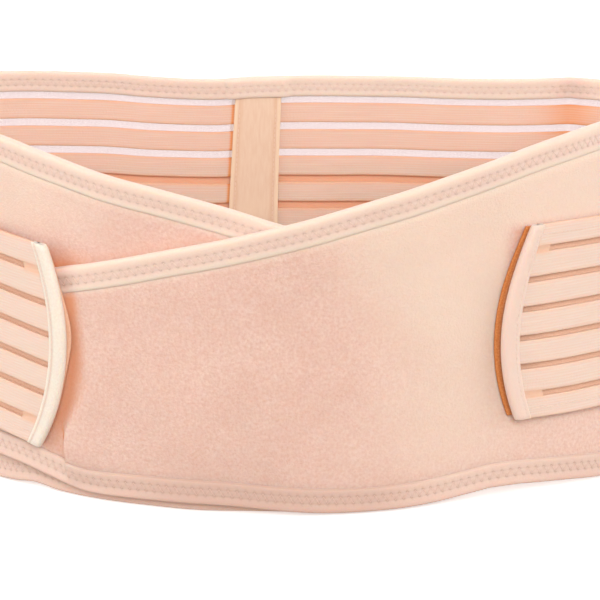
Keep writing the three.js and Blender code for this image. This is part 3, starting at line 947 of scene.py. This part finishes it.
def edge_binding(name, edge_at, sign, rim_light, tone_at):
    """Folded tape round an edge; the fourth argument is how strongly highlight is painted on its rims."""
    quarter_at, quarters = zigzag_stations()
    fold = np.concatenate([[LEFT_WING_END], quarter_at, [RIGHT_WING_END]])
    quarter = np.concatenate([[-1], quarters % 4, [-1]])
    along_in, height_in = edge_frame(fold, edge_at, sign)
    inward, swell, tone = np.array(TAPE_FACE).T
    # Painted highlight on the rims, weaker on the back, and a painted shade line on the inner rim where it
    # is absent
    pale = rim_light * (0.3 + 0.7 * smooth(SIDE_SEAM - 60, SIDE_SEAM, np.abs(fold)))[:, None]
    line = RIM_SHADE * (1 - rim_light) * smooth(11.4, 12.0, inward)
    tone = np.where(tone > 0, pale * tone, tone) + tone_at(fold)[:, None] - line
    low_hole = (quarter == 0)[:, None] & np.isclose(inward, ZIGZAG_LOW)
    high_hole = (quarter == 2)[:, None] & np.isclose(inward, ZIGZAG_HIGH)
    hole = np.where(low_hole | high_hole, 1.0, 0.0)
    beside = np.maximum(np.roll(hole, 1, axis=0), np.roll(hole, -1, axis=0))
    soft = np.maximum(np.maximum(np.roll(hole, 1, axis=1), np.roll(hole, -1, axis=1)), 0.5 * beside)
    # Painted shade in the stitch dimples
    tone = tone - 0.9 * hole - 0.2 * soft
    inner_in = np.array([BINDING_WIDTH - 0.3, 8.0, 4.0, 1.3])
    cloth = [tape_inside(fold, face)[:, None] for face in (-1, 1)]
    distance, offset, shade = folded_section(inward, inner_in, cloth, swell - 0.2 * hole, tone, 1.4)
    distance = distance * tape_share(fold)[:, None]
    along = fold[:, None] + distance * along_in[:, None]
    height = edge_at(fold)[:, None] + distance * height_in[:, None]
    points = place(along, height, cloth_depth(along, height) + offset)
    uv = np.stack([along, distance], -1) * MM
    return swept_tape(name, points, binding, uv, shade)


def binding_stitches(name, edge_at, sign, face, material, tone_at):
    """Zigzag thread on one face of an edge tape."""
    quarter_at, quarters = zigzag_stations()
    turns = quarter_at[quarters % 2 == 0]
    low_first = quarters[quarters % 2 == 0] % 4 == 0
    part = np.linspace(0, 1, 5)
    fold = turns[:-1, None] + np.diff(turns)[:, None] * part
    start = np.where(low_first[:-1], ZIGZAG_LOW, ZIGZAG_HIGH)[:, None]
    end = np.where(low_first[:-1], ZIGZAG_HIGH, ZIGZAG_LOW)[:, None]
    distance = (start + (end - start) * part) * tape_share(fold)
    along_in, height_in = edge_frame(fold, edge_at, sign)
    along = fold + distance * along_in
    height = edge_at(fold) + distance * height_in
    lift = 0.2 * np.sin(math.pi * part) - 0.2
    depth = cloth_depth(along, height) + face * (tape_inside(fold, face) + TAPE + lift)
    return threads(name, along, height, depth, THREAD, material, tone=tone_at(fold))


def strap_shape(side):
    """Reach of a strap, and a function for places on it: length from the back's middle, distance across."""
    tab_end = TABS[side]
    tip = tab_end["tip"]
    centre = curve(STRAP_CENTRE[side])
    depth = ramps(STRAP_DEPTH[side])

    def at(u, v):
        tab = np.clip((u - tip + TAB_LENGTH) / TAB_LENGTH, 0, 1.1)
        across = v / STRAP_HALF
        along = side * (u - tab * (tab_end["bulge"] * across ** 2 + tab_end["skew"] * across))
        share = 1 + tab_end["flare"] * tab - tab_end["narrow"] * smooth(NARROW_FROM, NARROW_TO, u)
        return along, centre(along) + v * share, depth(along)

    return tip, at


def strap(name, side):
    tip, at = strap_shape(side)
    root = side * STRAP_SEAM + GAP / 2
    slit_start = root + STRAP_ROOT_MARGIN
    slit_end = tip - TAB_LONG_SLIT
    short_end = tip - TAB_SHORT_SLIT
    rows, shares, tones, gaps = strip_rows(
        slit_strips(-STRAP_HALF, STRAP_HALF, STRAP_SLITS, STRAP_SLIT_HEIGHT)
    )
    even = np.linspace(root, tip - TAPE - 2 * GAP, 134)
    columns = np.unique(np.concatenate([even, [slit_start, slit_end, short_end]]))
    u, v = np.meshgrid(columns, rows, indexing="ij")
    along, height, depth = at(u, v)
    middle = (columns[1:] + columns[:-1]) / 2
    gap_centre = (rows[1:] + rows[:-1]) / 2
    outermost = np.abs(gap_centre) > STRAP_SLITS[-1] - 1
    last = np.where(outermost, short_end, slit_end)
    opened = gaps[None, :] & (middle[:, None] > slit_start) & (middle[:, None] < last[None, :])
    half = ELASTIC / 2 * np.broadcast_to(shares, u.shape)
    past_slit = smooth(short_end - 1, short_end, u) * smooth(slit_end, slit_end - 2, u)
    mark = 0.2 * hump(np.abs(v), STRAP_SLITS[-1], 2.2) * past_slit
    tone = 0.6 * np.where(u < slit_start, 0.3, 1.0) * tones - mark
    return cloth_sheet(name, along, height, depth, half, strap_lit_elastic, opened, tone, STRAP_INNER_SHADE)


# Across the tab end tape: distance in from the fold, swell of the face, tone of the colour (painted shade
# at the stitch dimples)
TAB_FACE = [
    (0.0, 0.0, 0.0), (0.5, 0.0, 0.0), (1.3, 0.15, 0.0), (2.4, 0.25, 0.0), (3.8, 0.25, 0.0),
    (5.0, 0.12, 0.0), (5.7, 0.0, -0.2), (TAB_STITCH, -0.12, -0.6), (6.9, -0.1, -0.2), (7.5, -0.15, 0.0),
    (8.0, -0.3, 0.0), (TAB_EDGE_WIDTH, -0.5, 0.0),
]


def tab_place(side, across, inward):
    """Length, height and depth at a distance in from a tab's round end."""
    tab_end = TABS[side]
    tip, at = strap_shape(side)
    slope = (2 * tab_end["bulge"] * across / STRAP_HALF + tab_end["skew"]) / STRAP_HALF
    return at(tip - inward * np.hypot(1, slope), across)


def tab_edge(name, side):
    """Folded tape round a tab's end, cut level with the strap's edges."""
    across = np.linspace(-STRAP_HALF - 0.05, STRAP_HALF + 0.05, 76)[:, None]
    inward, swell, tone = np.array(TAB_FACE).T
    rosy = TABS[side]["rosy"]
    tone = rosy + (1 - rosy) * tone
    cloth = (ELASTIC / 2 + GAP) * (1 - 0.45 * smooth(STRAP_HALF - 1.2, STRAP_HALF, np.abs(across)))
    inner_in = np.array([TAB_EDGE_WIDTH - 0.3, 5.5, 3.0, 1.2])
    distance, offset, shade = folded_section(inward, inner_in, [cloth, cloth], swell, tone, 1.3)
    along, height, depth = tab_place(side, across, distance)
    points = place(along, height, depth + offset)
    uv = np.stack(np.broadcast_arrays(across, distance), -1) * MM
    return swept_tape(name, points, tab_tape, uv, shade)


def tab_stitches(name, side, face):
    across = np.linspace(-STRAP_HALF + 1, STRAP_HALF - 1, 300)
    along, height, depth = tab_place(side, across, TAB_STITCH)
    depth = depth + face * (ELASTIC / 2 + GAP + TAPE - 0.15)
    return stitch_row(name, (along, height, depth), face, *TAB_STITCHES, THREAD, thread)


def strap_stitches(name, side, across):
    """Running stitches along an outer strip of a strap."""
    tip, at = strap_shape(side)
    u = np.linspace(side * STRAP_SEAM + 4, tip - TAB_EDGE_WIDTH - 0.5, 600)
    along, height, depth = at(u, np.full_like(u, across))
    return stitch_row(name, (along, height, depth + ELASTIC / 2), 1, *STRAP_STITCHES, THREAD, thread)


def with_rims(start, end, count):
    """Even stations from start to end, with closer ones at both ends."""
    rim = np.array([0, 0.25, 0.7])
    return np.concatenate([start + rim, np.linspace(start + 1.5, end - 1.5, count), end - rim[::-1]])


def hook_pad(name, side):
    """Pad under a tab: it shows a little past the tab's end, with painted shadow on its rim there."""
    tab_end = TABS[side]
    tip, at = strap_shape(side)
    lengths = with_rims(0, PAD_LENGTH, 40)
    length, v = np.meshgrid(lengths, with_rims(-PAD_HALF, PAD_HALF, 60), indexing="ij")
    shows = tab_end["pad_shows"]
    peak = tab_end["pad_peak"] * hump(v, PAD_PEAK_AT, PAD_PEAK_RUN)
    first = tip - PAD_LENGTH + shows + peak - 0.6 * abs(shows) * smooth(0.3, 1, v / PAD_HALF)
    along, height, _ = at(first + length, v)
    from_rim = np.minimum(np.minimum(PAD_LENGTH - length, length), PAD_HALF - np.abs(v))
    half = PAD / 2 * (0.4 + 0.6 * rounded(from_rim, 0.7))
    depth = np.full_like(along, PAD_DEPTH[side])
    rim_shade = tab_end["pad_rim_shade"] * smooth(4.0, 2.5, PAD_LENGTH - length)
    return cloth_sheet(name, along, height, depth, half, hooks, tone=rim_shade)


def seam_stitches(name, seam, face):
    """Wide flat seam that joins the back to a wing: threads to and fro across the joint."""
    heights = np.arange(BINDING_WIDTH + SEAM_STEP, SEAM_TOP - BINDING_WIDTH - SEAM_STEP, SEAM_STEP)
    part = np.linspace(0, 1, 6)
    way = np.where(np.arange(len(heights)) % 2 == 0, 1, -1)[:, None]
    along = seam + way * SEAM_WIDTH * (part - 0.5)
    height = heights[:, None] + SEAM_STEP * part
    inside = np.where(np.abs(along) < abs(seam), ELASTIC / 2, PLUSH / 2)
    depth = cloth_depth(along, height) + face * (inside + 0.25)
    return threads(name, along, height, depth, SEAM_THREAD, thread)


def root_stitches(name, offset):
    """Upright row of stitches where the straps are sewn to the back."""
    height = np.linspace(STRAP_MIDDLE - STRAP_HALF + 2, STRAP_MIDDLE + STRAP_HALF - 2, 200)
    along = np.full_like(height, STRAP_SEAM + offset)
    depth = np.full_like(height, STRAP_ROOT_DEPTH + ELASTIC / 2)
    return stitch_row(name, (along, height, depth), 1, *ROOT_STITCHES, THREAD, thread)


SIDES = ((1, "right"), (-1, "left"))
FACES = ((1, "outer"), (-1, "inner"))

# Back
back = back_panel()
slit_rows = [slit_threads()]
stay = back_stay()
stay_rows = [stay_stitches(-1, "stay_stitches_left"), stay_stitches(1, "stay_stitches_right")]

# Wings
left_wing = wing("left_plush_wing", LEFT_WING_END, -SIDE_SEAM - 0.2)
right_wing = wing("right_plush_wing", SIDE_SEAM + 0.2, RIGHT_WING_END)
seam_rows = [
    seam_stitches("side_seam_" + word + "_" + face_word, side * SIDE_SEAM, face)
    for side, word in SIDES[::-1]
    for face, face_word in FACES
]

# Edge tape
top_binding = edge_binding("top_edge_tape", top_edge, -1, 1.0, top_tone)
bottom_binding = edge_binding("bottom_edge_tape", bottom_edge, 1, 0.0, bottom_shade)
top_rows = [
    binding_stitches("top_zigzag_" + word, top_edge, -1, face, thread, top_tone) for face, word in FACES
]
bottom_rows = [
    binding_stitches("bottom_zigzag_" + word, bottom_edge, 1, face, low_shaded_thread, bottom_shade)
    for face, word in FACES
]

# Straps, tab ends and hook pads
straps, tabs, pads = {}, {}, {}
for side, word in SIDES:
    straps[word] = strap(word + "_slit_strap", side)
    rows = [
        strap_stitches(word + "_strap_stitches_top", side, STRAP_EDGE_ROW),
        strap_stitches(word + "_strap_stitches_bottom", side, -STRAP_EDGE_ROW),
        root_stitches(word + "_root_stitches", side * STRAP_ROOT_ROW),
    ]
    tabs[word] = tab_edge(word + "_tab_tape", side)
    tab_rows = [
        tab_stitches(word + "_tab_stitches_" + face_word, side, face) for face, face_word in FACES
    ]
    pads[word] = hook_pad(word + "_hook_tape", side)
    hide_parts(word + "_strap")
    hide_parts(word + "_tab_edge")
    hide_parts(word + "_hook_pad")

for piece, slot, nodes in (
    (back, "elastic", ["back_panel"]),
    (stay, "stay_tape", ["back_stay"]),
    (left_wing, "plush", ["left_wing"]),
    (right_wing, "plush", ["right_wing"]),
    (top_binding, "binding", ["top_binding_left", "top_binding_back", "top_binding_right"]),
    (bottom_binding, "binding", ["bottom_binding_left", "bottom_binding_back", "bottom_binding_right"]),
):
    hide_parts(*nodes)


def make_floor():
    turns = ((-1, -1), (1, -1), (1, 1), (-1, 1))
    corners = [(x * FLOOR_SIZE, y * FLOOR_SIZE, -FLOOR_DROP) for x, y in turns]
    mesh = bpy.data.meshes.new("floor")
    mesh.from_pydata(corners, [], [(0, 1, 2, 3)])
    mesh.materials.append(floor_material())
    floor = bpy.data.objects.new("floor", mesh)
    floor.visible_diffuse = False
    bpy.context.scene.collection.objects.link(floor)


def soft_light(name, towards, strength, spread):
    """Wide soft light from one direction."""
    data = bpy.data.lights.new(name, "SUN")
    data.energy = strength
    data.angle = math.radians(spread)
    lamp = bpy.data.objects.new(name, data)
    lamp.rotation_euler = (-Vector(towards)).to_track_quat("-Z", "Y").to_euler()
    bpy.context.scene.collection.objects.link(lamp)


def make_world():
    world = bpy.data.worlds.new("studio")
    world.use_nodes = True
    sky = world.node_tree.nodes["Background"]
    direction = world.node_tree.nodes.new("ShaderNodeTexCoord")
    upright = world.node_tree.nodes.new("ShaderNodeSeparateXYZ")
    world.node_tree.links.new(direction.outputs["Generated"], upright.inputs["Vector"])
    above = stretch(world.node_tree, upright.outputs["Z"], -0.2, 0.2)
    shade = mix(world.node_tree, above, SKY_BELOW, SKY_ABOVE)
    world.node_tree.links.new(shade, sky.inputs["Color"])
    bpy.context.scene.world = world


def make_camera():
    data = bpy.data.cameras.new("camera")
    data.sensor_width = SENSOR
    data.lens = FOCAL_PIXELS / PICTURE * SENSOR
    data.shift_x = (PICTURE / 2 - CENTRE_PIXEL[0]) / PICTURE
    data.shift_y = (CENTRE_PIXEL[1] - PICTURE / 2) / PICTURE
    camera = bpy.data.objects.new("camera", data)
    target = Vector(TARGET) * MM
    back_off = Vector((0, -math.cos(ELEVATION), math.sin(ELEVATION)))
    camera.location = target + back_off * DISTANCE * MM
    camera.rotation_euler = (-back_off).to_track_quat("-Z", "Y").to_euler()
    bpy.context.scene.collection.objects.link(camera)
    bpy.context.scene.camera = camera


make_floor()
make_world()
soft_light("front_light", (0.1, -1.0, 0.55), 2.33, 34)
soft_light("back_light", (0.25, 1.0, 0.3), 1.7, 50)
soft_light("left_light", (-1.0, -0.2, 0.3), 2.42, 70)
soft_light("right_light", (1.0, -0.2, 0.3), 1.68, 60)
make_camera()
bpy.context.scene.view_settings.view_transform = "Standard"
